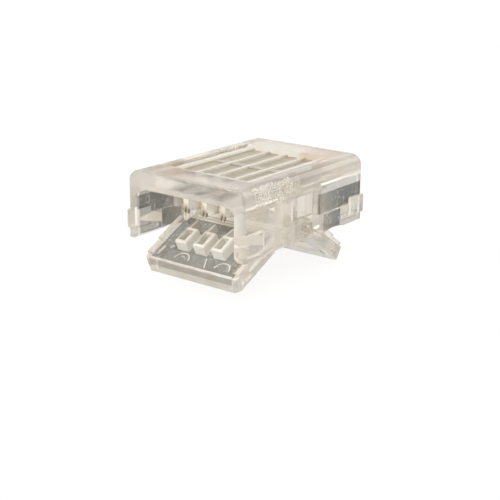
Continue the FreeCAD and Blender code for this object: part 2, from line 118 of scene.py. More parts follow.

# Colours of the finishes, among them painted shade, painted dark reflections and painted
# highlights
WHITE = (1.0, 1.0, 1.0, 1.0)
CLEAR_RESIN = (0.875, 0.85, 0.8, 1.0)
WARM_RESIN = (0.825, 0.77, 0.69, 1.0)
# Painted shade over the recessed waist
WAIST_SHADE_RESIN = (0.76, 0.72, 0.645, 1.0)
# Painted shade on the sunk floor of the top panel
SATIN_SHADE_RESIN = (0.43, 0.38, 0.3, 1.0)
# Painted shade on the rib flanks
SHADED_FLANK_RESIN = (0.53, 0.48, 0.39, 1.0)
PEBBLE_RESIN = (0.86, 0.84, 0.79, 1.0)
# Painted highlight on the rib crests and on the catch wedges
HIGHLIGHT_CREAM = (0.98, 0.96, 0.91, 1.0)
# Painted highlight on the anvils and their fins
HIGHLIGHT_WHITE = (0.99, 0.985, 0.965, 1.0)
RESIN_SHADOW = (0.97, 0.96, 0.93, 1.0)
MILKY_WARMTH = (0.96, 0.93, 0.88, 1.0)
AMBER = (0.6, 0.38, 0.2, 1.0)
# Painted dark reflections in the side windows and on the inner wall faces
WINDOW_DARK_REFLECTION = (0.085, 0.085, 0.078, 1.0)
INNER_DARK_REFLECTION = (0.3, 0.3, 0.28, 1.0)
OLIVE_DARK_REFLECTION = (0.36, 0.31, 0.22, 1.0)
# Painted shade in the anvil pockets
POCKET_SHADE = (0.72, 0.71, 0.68, 1.0)
# Painted shade on the flap trays
TRAY_SHADE = (0.17, 0.17, 0.16, 1.0)
WALL_SPECK = (0.74, 0.73, 0.69, 1.0)
TRAY_SPECK = (0.66, 0.65, 0.61, 1.0)
PALE_BRASS = (0.88, 0.82, 0.68, 1.0)
STAINED_BRASS = (0.7, 0.62, 0.47, 1.0)
# Painted shade on the lower fork points
SHADED_FORK_BRASS = (0.42, 0.36, 0.24, 1.0)

# How resin passes light
RESIN_IOR = 1.57
SHADOW_SHARE = 0.93

# Patterns in the resin: how many to a metre, and depths in millimetres
TINT_SIZE = 350.0
MILKY_TINT_SIZE = 500.0
SPECK_SIZE = 2600.0
WAVE_SIZE = 300.0
WAVE_SHARE = 0.25
WAVE_DEPTH = 0.1
WAVE_STRENGTH = 0.6
GRAIN_DEPTH = 0.05
GRAIN_LOW = 0.3
GRAIN_HIGH = 0.7
CORNER_RADIUS = 0.07

joints = {joint["name"]: joint for joint in frame["record"]["behaviour"]["joints"]}
near_hinge = Vector(joints["near_flap_hinge"]["pos_m"])
far_hinge = Vector(joints["far_flap_hinge"]["pos_m"])


class Tree:
    """Short calls for building one node tree."""

    STEP = 180

    def __init__(self, tree):
        self.tree = tree
        self.column = 0

    def add(self, kind, settings=None, **inputs):
        """One node, with its properties set and its inputs joined or given a value."""
        node = self.tree.nodes.new(kind)
        node.location = (self.column, 0)
        self.column += self.STEP
        for name, value in (settings or {}).items():
            setattr(node, name, value)
        for name, value in inputs.items():
            self.put(node, name, value)
        return node

    def put(self, node, name, value):
        """Join or set one input: its label with underscores for spaces, or in_ and its number."""
        if name[:3] == "in_":
            self.feed(node.inputs[int(name[3:])], value)
        else:
            self.feed(node.inputs[name.replace("_", " ")], value)

    def feed(self, socket, value):
        """Join another socket to this one, or set its plain value."""
        if isinstance(value, bpy.types.NodeSocket):
            self.tree.links.new(value, socket)
        else:
            socket.default_value = value

    def maths(self, operation, a, b=0.0):
        """A number worked out from one or two others."""
        return self.add("ShaderNodeMath", {"operation": operation}, in_0=a, in_1=b).outputs[0]

    def plus(self, a, b):
        """The sum of two numbers."""
        return self.maths("ADD", a, b)

    def less(self, a, b):
        """The first number less the second."""
        return self.maths("SUBTRACT", a, b)

    def times(self, a, b):
        """The product of two numbers."""
        return self.maths("MULTIPLY", a, b)

    def most(self, a, b):
        """The larger of two numbers."""
        return self.maths("MAXIMUM", a, b)

    def vectors(self, operation, a, b=(0.0, 0.0, 0.0), output="Vector"):
        """A vector, or a number, worked out from one or two vectors."""
        settings = {"operation": operation}
        return self.add("ShaderNodeVectorMath", settings, in_0=a, in_1=b).outputs[output]

    def vector(self, x=0.0, y=0.0, z=0.0):
        """A vector made of three numbers."""
        return self.add("ShaderNodeCombineXYZ", None, in_0=x, in_1=y, in_2=z).outputs[0]

    def parts(self, vector):
        """The three numbers of a vector."""
        return self.add("ShaderNodeSeparateXYZ", None, in_0=vector).outputs

    def between(self, value, low, high, start=0.0, end=1.0):
        """A number carried smoothly from one range to another."""
        settings = {"interpolation_type": "SMOOTHSTEP"}
        return self.add("ShaderNodeMapRange", settings, in_0=value, in_1=low, in_2=high,
                        in_3=start, in_4=end).outputs[0]

    def blend(self, amount, a, b):
        """A colour between two others."""
        node = self.add("ShaderNodeMix", {"data_type": "RGBA"})
        for number, value in ((0, amount), (6, a), (7, b)):
            self.feed(node.inputs[number], value)
        return node.outputs[2]

    def noise(self, place, scale, detail=2.0, rough=0.5):
        """Smooth noise about 0.5."""
        return self.add("ShaderNodeTexNoise", None, Vector=place, Scale=scale, Detail=detail,
                        Roughness=rough).outputs[0]

    def object_place(self):
        """The point's place on the object."""
        return self.add("ShaderNodeTexCoord").outputs["Object"]

    def mixed(self, share, first, second):
        """One shader shown through another."""
        return self.add("ShaderNodeMixShader", None, in_0=share, in_1=first.outputs[0],
                        in_2=second.outputs[0])

    def surface(self, shader):
        """End a material with its shader."""
        self.add("ShaderNodeOutputMaterial", None, Surface=shader.outputs[0])


def new_group(name, inputs, outputs):
    """A shader group with named sockets, and its builder, inputs and output node."""
    group = bpy.data.node_groups.new(name, "ShaderNodeTree")
    for label, kind, value in inputs:
        kind = "NodeSocket" + kind
        socket = group.interface.new_socket(label, in_out="INPUT", socket_type=kind)
        if value is not None:
            socket.default_value = value
    for label, kind in outputs:
        group.interface.new_socket(label, in_out="OUTPUT", socket_type="NodeSocket" + kind)
    tree = Tree(group)
    return group, tree, tree.add("NodeGroupInput").outputs, tree.add("NodeGroupOutput")


def make_zone_group():
    """Mask of a box in space: 1 inside, falling to 0 over Blend outside its faces."""
    sockets = [("Place", "Vector", None), ("Middle", "Vector", (0, 0, 0)),
               ("Half", "Vector", (1, 1, 1)), ("Blend", "Float", 0.0001)]
    group, tree, given, result = new_group("zone mask", sockets, [("Mask", "Float")])
    away = tree.vectors("ABSOLUTE", tree.vectors("SUBTRACT", given["Place"], given["Middle"]))
    outside = tree.parts(tree.vectors("SUBTRACT", away, given["Half"]))
    farthest = tree.most(tree.most(outside[0], outside[1]), outside[2])
    tree.put(result, "Mask", tree.between(farthest, 0.0, given["Blend"], 1.0, 0.0))
    return group


def make_tint_group():
    """Colour of the resin, drifting a little between two tones from place to place."""
    drift_low, drift_high = 0.35, 0.65
    sockets = [("Place", "Vector", None), ("Clear", "Color", WHITE), ("Warm", "Color", WHITE),
               ("Size", "Float", 400.0)]
    group, tree, given, result = new_group("resin tint", sockets, [("Color", "Color")])
    drift = tree.noise(given["Place"], given["Size"], detail=3.0)
    amount = tree.between(drift, drift_low, drift_high)
    tree.put(result, "Color", tree.blend(amount, given["Clear"], given["Warm"]))
    return group


def make_speckle_group():
    """Fine bright specks and short streaks, as on a spark-finished face, over painted shade and
    reflection.
    """
    fine_share, broad_share, broad_size = 0.72, 0.28, 0.22
    darkest, spread = 0.6, 0.16
    sockets = [("Place", "Vector", None), ("Size", "Float", 3000.0), ("Amount", "Float", 0.5)]
    results = [("Mask", "Float"), ("Height", "Float")]
    group, tree, given, result = new_group("spark speckle", sockets, results)
    fine = tree.noise(given["Place"], given["Size"], detail=4.0, rough=0.7)
    broad = tree.noise(given["Place"], tree.times(given["Size"], broad_size))
    both = tree.plus(tree.times(fine, fine_share), tree.times(broad, broad_share))
    low = tree.less(darkest, tree.times(given["Amount"], spread))
    tree.put(result, "Mask", tree.between(both, low, tree.plus(low, spread)))
    tree.put(result, "Height", fine)
    return group


def make_wave_group():
    """Height of the slow waves and faint flow lines that moulding leaves on a polished face."""
    quick_size, quick_height = 4.0, 0.2
    sockets = [("Place", "Vector", None), ("Size", "Float", 350.0), ("Along", "Float", 0.25)]
    group, tree, given, result = new_group("moulding waves", sockets, [("Height", "Float")])
    stretch = tree.vector(given["Along"], 1.0, 1.0)
    drawn = tree.vectors("MULTIPLY", given["Place"], stretch)
    slow = tree.noise(drawn, given["Size"])
    quick = tree.noise(drawn, tree.times(given["Size"], quick_size))
    tree.put(result, "Height", tree.plus(slow, tree.times(quick, quick_height)))
    return group


ZONE = make_zone_group()
TINT = make_tint_group()
SPECKLE = make_speckle_group()
WAVES = make_wave_group()


def use(tree, group, **inputs):
    """One copy of a group in a material."""
    return tree.add("ShaderNodeGroup", {"node_tree": group}, **inputs).outputs


def zone(tree, place, low, high, blend):
    """Mask of the box between two corners, fading over a blend outside it, in millimetres."""
    low, high = Vector(low) * MM, Vector(high) * MM
    middle, half = (low + high) / 2, (high - low) / 2
    return use(tree, ZONE, Place=place, Middle=middle, Half=half, Blend=blend * MM)["Mask"]


def tinted(tree, place, clear, warm, size):
    """Resin colour drifting between two tones."""
    return use(tree, TINT, Place=place, Clear=clear, Warm=warm, Size=size)["Color"]


def painted_dark_speckled(tree, place, colour, mask, amount, dark, bright):
    """The colour with dark, speckled grey of painted shade and reflection where the mask is, and
    the specks' height.
    """
    speck = use(tree, SPECKLE, Place=place, Size=SPECK_SIZE, Amount=amount)
    painted_dark = tree.blend(speck["Mask"], dark, bright)
    return tree.blend(mask, colour, painted_dark), tree.times(speck["Height"], mask)


def new_material(name):
    """An empty material and its builder."""
    material = bpy.data.materials.new(name)
    material.use_nodes = True
    material.node_tree.nodes.clear()
    return material, Tree(material.node_tree)


def soft_corners(tree, radius):
    """Normal of a surface whose corners are rounded by a radius in millimetres."""
    return tree.add("ShaderNodeBevel", {"samples": 4}, Radius=radius * MM).outputs[0]


def relief(tree, height, strength, depth):
    """Bump of a height map whose full depth is given in millimetres."""
    return tree.add("ShaderNodeBump", None, Strength=strength, Distance=depth * MM, Height=height)


def moulded_bump(tree, place, along, grain, grain_share):
    """Normal of a polished moulding: slow waves, the grain of its smoky faces, soft corners."""
    waves = use(tree, WAVES, Place=place, Size=WAVE_SIZE, Along=along)["Height"]
    height = tree.plus(tree.times(waves, WAVE_SHARE), tree.times(grain, grain_share))
    bump = relief(tree, height, WAVE_STRENGTH, WAVE_DEPTH)
    tree.put(bump, "Normal", soft_corners(tree, CORNER_RADIUS))
    return bump.outputs[0]


def clear_surface(tree, colour, roughness, normal, clarity):
    """Clear plastic whose shadow lets most of the light through."""
    plastic = tree.add("ShaderNodeBsdfPrincipled", None, Base_Color=colour, Roughness=roughness,
                       Normal=normal, IOR=RESIN_IOR)
    plastic.inputs["Transmission Weight"].default_value = clarity
    clear = tree.add("ShaderNodeBsdfTransparent", None, Color=RESIN_SHADOW)
    in_shadow = tree.add("ShaderNodeLightPath").outputs["Is Shadow Ray"]
    tree.surface(tree.mixed(tree.times(in_shadow, SHADOW_SHARE), plastic, clear))


def window_masks(tree, place):
    """Masks of the painted dark reflections in the outer windows and on the inner faces, each on
    two side walls.
    """
    edge = 0.05
    end = HALF_LENGTH - 0.3
    band_skin, wall_skin = -SIDE - 0.25, -SIDE - 0.05
    outer_depth, inner_start, inner_end = -INNER_SIDE - 0.4, -INNER_SIDE - 0.3, -INNER_SIDE + 0.08
    upper_start, lower_start = HALF_WAIST - 0.05, HALF_WAIST + 0.75
    catch_seen = 5.9
    foot, inner_foot = FOOT + 0.25, FOOT + 0.3
    under_band, over_band = FOOT + BAND_TOP - 0.1, FOOT + BAND_TOP + 0.1
    window_top, inner_top = FOOT + 4.2, FOOT + 4.9
    half_turned = tree.vectors("MULTIPLY", place, (-1.0, -1.0, 1.0))
    outer_mask, inner_mask = 0.0, 0.0
    for side in (place, half_turned):
        upper = zone(tree, side, (upper_start, wall_skin, over_band),
                     (end, outer_depth, window_top), edge)
        lower = zone(tree, side, (lower_start, band_skin, foot),
                     (catch_seen, outer_depth, under_band), edge)
        inside = zone(tree, side, (lower_start, inner_start, inner_foot),
                      (end, inner_end, inner_top), edge)
        outer_mask = tree.most(outer_mask, tree.most(upper, lower))
        inner_mask = tree.most(inner_mask, inside)
    return outer_mask, inner_mask


def amber_mask(tree, place):
    """Mask of the amber patches under the roof, near left and far right, broken up by noise."""
    start, end = 4.6, 9.2
    inner, outer = 2.2, 5.4
    low, high = ROOF - 2.1, ROOF - 0.1
    edge, patch_size = 0.9, 900.0
    near_left = zone(tree, place, (-end, inner, low), (-start, outer, high), edge)
    far_right = zone(tree, place, (start, -outer, low), (end, -inner, high), edge)
    patches = tree.noise(place, patch_size, detail=3.0)
    return tree.times(tree.most(near_left, far_right), patches)


def housing_finish():
    """Polished clear body: painted dark reflections in windows in two side walls, painted shade on
    the waist, amber under the roof.
    """
    inner_specks, outer_specks = 0.45, 0.55
    olive_end = 0.6 * HALF_LENGTH
    waist_top, waist_edge = FOOT + 4.8, 0.1
    brow_start, brow_end, brow_edge = PANEL_LENGTH / 2 + 0.3, HALF_LENGTH + 0.1, 0.3
    brow_low, brow_high = ROOF - 2.2, ROOF + 0.1
    polish, window_frost, brow_frost = 0.04, 0.1, 0.2
    material, tree = new_material("clear_housing_resin")
    place = tree.object_place()
    colour = tinted(tree, place, CLEAR_RESIN, WARM_RESIN, TINT_SIZE)
    windows, inner_walls = window_masks(tree, place)
    colour = tree.blend(amber_mask(tree, place), colour, AMBER)
    from_middle = tree.maths("ABSOLUTE", tree.parts(place)[0])
    olive = tree.between(from_middle, HALF_WAIST * MM, olive_end * MM, 1.0, 0.0)
    # Painted dark reflections: grey on the inner faces, olive near the middle to grey at the ends
    # in the windows
    painted_dark = tree.blend(olive, WINDOW_DARK_REFLECTION, OLIVE_DARK_REFLECTION)
    colour = painted_dark_speckled(tree, place, colour, inner_walls, inner_specks, INNER_DARK_REFLECTION, WALL_SPECK)[0]
    colour, grain = painted_dark_speckled(tree, place, colour, windows, outer_specks, painted_dark, WALL_SPECK)
    # Painted shade over the recessed waist
    waist = zone(tree, place, (-HALF_WAIST, -SIDE, FOOT), (HALF_WAIST, SIDE, waist_top),
                 waist_edge)
    colour = tree.blend(waist, colour, WAIST_SHADE_RESIN)
    bump = moulded_bump(tree, place, along=0.3, grain=grain, grain_share=0.1)
    brow = zone(tree, tree.vectors("ABSOLUTE", place), (brow_start, -SIDE, brow_low),
                (brow_end, SIDE, brow_high), brow_edge)
    frost = tree.most(tree.times(windows, window_frost), tree.times(brow, brow_frost))
    clear_surface(tree, colour, tree.plus(polish, frost), bump, clarity=0.8)
    return material


def flap_finish(name, hinge, turn, opening):
    """Polished clear flap, in the flap's own space: painted shade on its spark-finished tray floor
    and lip, painted highlight on its anvils.
    """
    floor = FLOOR_TOP - HINGE_HEIGHT
    tray_start, tray_end = 1.6, FLOOR_END - BEAD_WIDTH - HINGE_PLACE
    tray_low, tray_high, tray_edge = floor - 0.05, floor + 0.02, 0.03
    slope_start, slope_end = FLOOR_END - HINGE_PLACE + 0.02, LIP_END - HINGE_PLACE - 0.03
    slope_low, slope_high = LIP_SHOULDER - HINGE_HEIGHT + 0.05, floor - 0.05
    front, around, anvil_edge = BLOCK_FRONT - HINGE_PLACE, 0.1, 0.05
    anvil_low, anvil_high = floor + 0.08, BLOCK_TOP - HINGE_HEIGHT + around
    specks, slope_share = 0.55, 0.55
    polish, tray_frost = 0.05, 0.15
    material, tree = new_material(name)
    turned = tree.add("ShaderNodeMapping", {"vector_type": "TEXTURE"},
                      Vector=tree.object_place())
    turned.inputs["Location"].default_value = hinge
    turned.inputs["Rotation"].default_value = (0.0, math.radians(opening), turn)
    own = turned.outputs[0]
    colour = tinted(tree, own, CLEAR_RESIN, WARM_RESIN, TINT_SIZE)
    tray = zone(tree, own, (tray_start, -TRAY_HALF, tray_low), (tray_end, TRAY_HALF, tray_high),
                tray_edge)
    slope = zone(tree, own, (slope_start, -TRAY_HALF, slope_low),
                 (slope_end, TRAY_HALF, slope_high), tray_edge)
    # Painted shade on the tray floor, and at a part share on the lip's slope
    dark = tree.most(tray, tree.times(slope, slope_share))
    colour, grain = painted_dark_speckled(tree, own, colour, dark, specks, TRAY_SHADE, TRAY_SPECK)
    # Painted highlight over the anvil blocks
    anvils = zone(tree, own, (front - BLOCK_LENGTH - around, -BLOCK_REACH, anvil_low),
                  (front + around, BLOCK_REACH, anvil_high), anvil_edge)
    colour = tree.blend(anvils, colour, HIGHLIGHT_WHITE)
    bump = moulded_bump(tree, own, along=1.0, grain=grain, grain_share=0.15)
    roughness = tree.plus(polish, tree.times(tray, tray_frost))
    clear_surface(tree, colour, roughness, bump, clarity=0.74)
    return material


def brass_finish():
    """Pressed brass strip with rolled lines, a little tarnish, and painted shade on the fork
    points towards the bottom.
    """
    point_low, point_high = FOOT + 2.9, FOOT + 4.0
    line_size, line_stretch = 9000.0, (0.05, 1.0, 1.0)
    stain_size, stain_low, stain_high = 700.0, 0.42, 0.62
    polish, stain_dullness = 0.2, 0.2
    material, tree = new_material("pressed_brass")
    place = tree.object_place()
    lines = tree.noise(tree.vectors("MULTIPLY", place, line_stretch), line_size)
    stain = tree.between(tree.noise(place, stain_size, detail=3.0), stain_low, stain_high)
    # Painted shade: the fork points darker towards the bottom
    points = tree.between(tree.parts(place)[2], point_low * MM, point_high * MM, 1.0, 0.0)
    colour = tree.blend(points, tree.blend(stain, PALE_BRASS, STAINED_BRASS), SHADED_FORK_BRASS)
    bump = relief(tree, lines, strength=0.3, depth=0.02).outputs[0]
    roughness = tree.plus(polish, tree.times(stain, stain_dullness))
    metal = tree.add("ShaderNodeBsdfPrincipled", None, Base_Color=colour, Roughness=roughness,
                     Normal=bump)
    metal.inputs["Metallic"].default_value = 1.0
    tree.surface(metal)
    return material


def milky_finish(name, base, clarity, polish, grain_size, strength, corner_radius=0.0):
    """Milky resin with a fine pebbled grain, and soft corners where a radius is given."""
    dulling = 0.15
    material, tree = new_material(name)
    place = tree.object_place()
    warmer = tuple(part * tone for part, tone in zip(base, MILKY_WARMTH))
    colour = tinted(tree, place, base, warmer, MILKY_TINT_SIZE)
    grain = tree.noise(place, grain_size)
    bump = relief(tree, grain, strength, GRAIN_DEPTH)
    if corner_radius:
        tree.put(bump, "Normal", soft_corners(tree, corner_radius))
    roughness = tree.between(grain, GRAIN_LOW, GRAIN_HIGH, polish, polish + dulling)
    clear_surface(tree, colour, roughness, bump.outputs[0], clarity)
    return material


def rib_finish():
    """Rib resin with painted shade on its beige flanks and a painted highlight along the crest."""
    crest_start, crest_end = ROOF - PANEL_DEPTH + 0.14, ROOF - PANEL_DEPTH + 0.22
    grain_size, polish, dullest = 2500.0, 0.08, 0.2
    material, tree = new_material("rib_highlight_and_shade_resin")
    place = tree.object_place()
    # Painted highlight along the crest, painted shade on the flanks
    crest = tree.between(tree.parts(place)[2], crest_start * MM, crest_end * MM)
    colour = tree.blend(crest, SHADED_FLANK_RESIN, HIGHLIGHT_CREAM)
    grain = tree.noise(place, grain_size)
    bump = relief(tree, grain, 0.2, GRAIN_DEPTH).outputs[0]
    roughness = tree.between(grain, GRAIN_LOW, GRAIN_HIGH, polish, dullest)
    clear_surface(tree, colour, roughness, bump, clarity=0.5)
    return material


def dress(node, material):
    """Give one solid its finish, in place of any that it has."""
    target = frame["nodes"][node]
    target.data.materials.clear()
    target.data.materials.append(material)
    for slot in target.material_slots:
        slot.material = material


def floats(*labels):
    """Sockets that take a plain number."""
    return [(label, "Float") for label in labels]


def geometry_group(name, sockets):
    """A Geometry Nodes group with named inputs, and its builder, inputs and output node."""
    group = bpy.data.node_groups.new(name, "GeometryNodeTree")
    for label, kind in sockets:
        group.interface.new_socket(label, in_out="INPUT", socket_type="NodeSocket" + kind)
    group.interface.new_socket("Geometry", in_out="OUTPUT", socket_type="NodeSocketGeometry")
    tree = Tree(group)
    return group, tree, tree.add("NodeGroupInput").outputs, tree.add("NodeGroupOutput")


def close_group(tree, result, shape, material):
    """End a group with real geometry in its own finish."""
    real = tree.add("GeometryNodeRealizeInstances", None, in_0=shape).outputs[0]
    dressed = tree.add("GeometryNodeSetMaterial", None, in_0=real)
    dressed.inputs["Material"].default_value = material
    tree.put(result, "Geometry", dressed.outputs[0])


def make_cell_group(material):
    """Thin satin plates in rows and columns on one level, with a faint ripple on top."""
    steps_along, steps_across, ripple_size = 48, 14, 2200.0
    sockets = [("Columns", "Int"), ("Rows", "Int")]
    sockets += floats("Column Pitch", "Row Pitch", "Cell Length", "Cell Width")
    sockets += floats("Thickness", "Ripple", "Level")
    group, tree, given, result = geometry_group("satin cells", sockets)
    across = tree.times(given["Row Pitch"], tree.less(given["Rows"], 1.0))
    along = tree.times(given["Column Pitch"], tree.less(given["Columns"], 1.0))
    spots = tree.add("GeometryNodeMeshGrid", None, Size_X=along, Size_Y=across,
                     Vertices_X=given["Columns"], Vertices_Y=given["Rows"]).outputs[0]
    sheet = tree.add("GeometryNodeMeshGrid", None, Size_X=given["Cell Length"],
                     Size_Y=given["Cell Width"], Vertices_X=steps_along,
                     Vertices_Y=steps_across).outputs[0]
    plate = tree.add("GeometryNodeExtrudeMesh", None, Mesh=sheet,
                     Offset_Scale=given["Thickness"], Individual=False)
    place = tree.add("GeometryNodeInputPosition").outputs[0]
    ripple = tree.noise(place, ripple_size, detail=1.0)
    lift = tree.times(tree.less(ripple, 0.5), given["Ripple"])
    waved = tree.add("GeometryNodeSetPosition", None, Geometry=plate.outputs[0],
                     Selection=plate.outputs["Top"], Offset=tree.vector(z=lift)).outputs[0]
    laid = tree.add("GeometryNodeInstanceOnPoints", None, Points=spots, Instance=waved)
    placed = tree.add("GeometryNodeTransform", None, Geometry=laid.outputs[0],
                      Translation=tree.vector(z=given["Level"])).outputs[0]
    close_group(tree, result, placed, material)
    return group


def make_pip_group(material):
    """Low pips scattered over a rounded shoulder and the flat under it, and half a turn round."""
    steps_along, steps_round = 3, 24
    flatness, smallest, largest, no_limit = 0.5, 0.7, 1.25, 1.0e9
    sockets = floats("Length", "Middle", "Side", "Roof", "Round", "Low Angle", "High Angle")
    sockets += floats("Spacing", "Pip Size") + [("Seed", "Int")]
    group, tree, given, result = geometry_group("shoulder pips", sockets)
    flat = tree.add("GeometryNodeMeshGrid", None, Size_X=given["Length"], Size_Y=1.0,
                    Vertices_X=steps_along, Vertices_Y=steps_round)
    place = tree.parts(tree.add("GeometryNodeInputPosition").outputs[0])
    share = tree.plus(place[1], 0.5)
    span = tree.less(given["High Angle"], given["Low Angle"])
    angle = tree.plus(given["Low Angle"], tree.times(share, span))
    bent = tree.most(angle, 0.0)
    inwards = tree.times(tree.less(1.0, tree.maths("COSINE", bent)), given["Round"])
    side = tree.less(inwards, given["Side"])
    rise = tree.plus(tree.maths("SINE", bent), tree.maths("MINIMUM", angle, 0.0))
    base = tree.less(given["Roof"], given["Round"])
    height = tree.plus(base, tree.times(rise, given["Round"]))
    spot = tree.vector(tree.plus(place[0], given["Middle"]), side, height)
    skin = tree.add("GeometryNodeSetPosition", None, Geometry=flat.outputs[0], Position=spot)
    scatter = tree.add("GeometryNodeDistributePointsOnFaces", {"distribute_method": "POISSON"},
                       Mesh=skin.outputs[0], Distance_Min=given["Spacing"],
                       Density_Max=no_limit, Seed=given["Seed"])
    dome = tree.add("GeometryNodeMeshIcoSphere", None, Radius=given["Pip Size"],
                    Subdivisions=2).outputs[0]
    low = tree.add("GeometryNodeTransform", None, Geometry=dome, Scale=(1.0, 1.0, flatness))
    varied = tree.add("FunctionNodeRandomValue", {"data_type": "FLOAT"}, Seed=given["Seed"],
                      in_2=smallest, in_3=largest)
    pips = tree.add("GeometryNodeInstanceOnPoints", None, Points=scatter.outputs["Points"],
                    Instance=low.outputs[0], Rotation=scatter.outputs["Rotation"],
                    Scale=varied.outputs[1]).outputs[0]
    turned = tree.add("GeometryNodeTransform", None, Geometry=pips, Rotation=(0.0, 0.0, math.pi))
    both = tree.add("GeometryNodeJoinGeometry", None, in_0=pips)
    tree.put(both, "in_0", turned.outputs[0])
    close_group(tree, result, both.outputs[0], material)
    return group


def make_bar_group(material):
    """Straight bars with sloped flanks, side by side on one level and turned together."""
    steps_along = 40
    sockets = [("Count", "Int")]
    sockets += floats("Pitch", "Length", "Foot", "Crest", "Height", "Level", "Turn")
    group, tree, given, result = geometry_group("panel bars", sockets)
    size = tree.vector(given["Length"], given["Foot"], given["Height"])
    bar = tree.add("GeometryNodeMeshCube", None, Size=size, Vertices_X=steps_along).outputs[0]
    place = tree.parts(tree.add("GeometryNodeInputPosition").outputs[0])
    upper = tree.maths("GREATER_THAN", place[2], 0.0)
    pinch = tree.less(tree.maths("DIVIDE", given["Crest"], given["Foot"]), 1.0)
    narrowing = tree.times(tree.times(place[1], pinch), upper)
    lift = tree.plus(given["Level"], tree.times(given["Height"], 0.5))
    shaped = tree.add("GeometryNodeSetPosition", None, Geometry=bar,
                      Offset=tree.vector(y=narrowing, z=lift)).outputs[0]
    half = tree.times(tree.less(given["Count"], 1.0), 0.5)
    first = tree.times(tree.times(half, given["Pitch"]), -1.0)
    line = tree.add("GeometryNodeMeshLine", None, Count=given["Count"],
                    Start_Location=tree.vector(y=first),
                    Offset=tree.vector(y=given["Pitch"])).outputs[0]
    laid = tree.add("GeometryNodeInstanceOnPoints", None, Points=line, Instance=shaped)
    turned = tree.add("GeometryNodeTransform", None, Geometry=laid.outputs[0],
                      Rotation=tree.vector(z=given["Turn"])).outputs[0]
    close_group(tree, result, turned, material)
    return group


def made_from(name, group, values, body):
    """A plain mesh piece from a geometry group, riding on a body."""
    piece = bpy.data.objects.new(name, bpy.data.meshes.new(name))
    bpy.context.scene.collection.objects.link(piece)
    shaping = piece.modifiers.new("shape", "NODES")
    shaping.node_group = group
    for label, value in values.items():
        shaping[group.interface.items_tree[label].identifier] = value
    graph = bpy.context.evaluated_depsgraph_get()
    mesh = bpy.data.meshes.new_from_object(piece.evaluated_get(graph))
    piece.modifiers.remove(shaping)
    piece.data = mesh
    mesh.name = name
    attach(piece, body)


def make_satin_cells():
    """Satin floor of the top panel: a plate between each pair of ribs, each side of the bar, in
    painted shade.
    """
    gap, thickness, ripple, sunk = 0.03, 0.05, 0.03, 0.02
    length = (PANEL_LENGTH - CROSS_BAR_WIDTH) / 2
    width = TOP_RIB_PITCH - (TOP_RIB_FOOT + EDGE_RIB_FOOT) / 2
    # Dark satin colour as painted shade of the sunk panel floor
    finish = milky_finish("satin_cell_shade_resin", SATIN_SHADE_RESIN, clarity=0.45, polish=0.3,
                          grain_size=5200.0, strength=0.5)
    values = {"Columns": 2, "Rows": 4, "Column Pitch": (length + CROSS_BAR_WIDTH) * MM,
              "Row Pitch": TOP_RIB_PITCH * MM, "Cell Length": (length - 2 * gap) * MM,
              "Cell Width": (width - 2 * gap) * MM, "Thickness": thickness * MM,
              "Ripple": ripple * MM, "Level": (ROOF - PANEL_DEPTH - sunk) * MM}
    made_from("satin_cells", make_cell_group(finish), values, "body")


def make_shoulder_pips():
    """Fine pebbled grip on the near and far shoulders."""
    start, end = HALF_WAIST + 0.35, HALF_LENGTH - 1.75
    low_angle, high_angle = math.radians(-30), math.radians(62)
    spacing, radius, seed = 0.23, 0.105, 4
    finish = milky_finish("shoulder_pip_resin", PEBBLE_RESIN, clarity=0.55, polish=0.22,
                          grain_size=3000.0, strength=0.1)
    values = {"Length": (end - start) * MM, "Middle": -(start + end) / 2 * MM,
              "Side": SIDE * MM, "Roof": ROOF * MM, "Round": SIDE_ROUND * MM,
              "Low Angle": low_angle, "High Angle": high_angle,
              "Spacing": spacing * MM, "Pip Size": radius * MM, "Seed": seed}
    made_from("shoulder_pips", make_pip_group(finish), values, "body")


def make_panel_bars():
    """Ribs of the top panel, two wider ones at its edges and a low bar across, with painted shade
    and crest highlight.
    """
    group = make_bar_group(rib_finish())
    level, end_gap = (ROOF - PANEL_DEPTH - SKIN) * MM, 0.04
    rib = (TOP_RIB_FOOT, TOP_RIB_CREST, TOP_RIB_HEIGHT)
    edge_rib = (EDGE_RIB_FOOT, EDGE_RIB_CREST, EDGE_RIB_HEIGHT)
    bar = (CROSS_BAR_WIDTH, CROSS_BAR_WIDTH, CROSS_BAR_HEIGHT)
    bars = [("panel_ribs", 3, TOP_RIB_PITCH, PANEL_LENGTH, rib, 0.0),
            ("edge_ribs", 2, 4 * TOP_RIB_PITCH, PANEL_LENGTH, edge_rib, 0.0),
            ("cross_bar", 1, 1.0, PANEL_WIDTH, bar, math.pi / 2)]
    for name, count, pitch, length, section, turn in bars:
        foot, crest, height = ((size + 2 * SKIN) * MM for size in section)
        values = {"Count": count, "Pitch": pitch * MM, "Length": (length - end_gap) * MM,
                  "Foot": foot, "Crest": crest, "Height": height, "Level": level, "Turn": turn}
        made_from(name, group, values, "body")


def ring_of(shape, x0, x1, y0, y1, z):
    """Four corners of a level rectangle."""
    return [shape.verts.new((x, y, z)) for x, y in ((x0, y0), (x1, y0), (x1, y1), (x0, y1))]


def bridge(shape, lower, upper, number=0):
    """Faces between two rings of the same length."""
    for index in range(len(lower)):
        after = (index + 1) % len(lower)
        face = shape.faces.new((lower[index], lower[after], upper[after], upper[index]))
        face.material_index = number


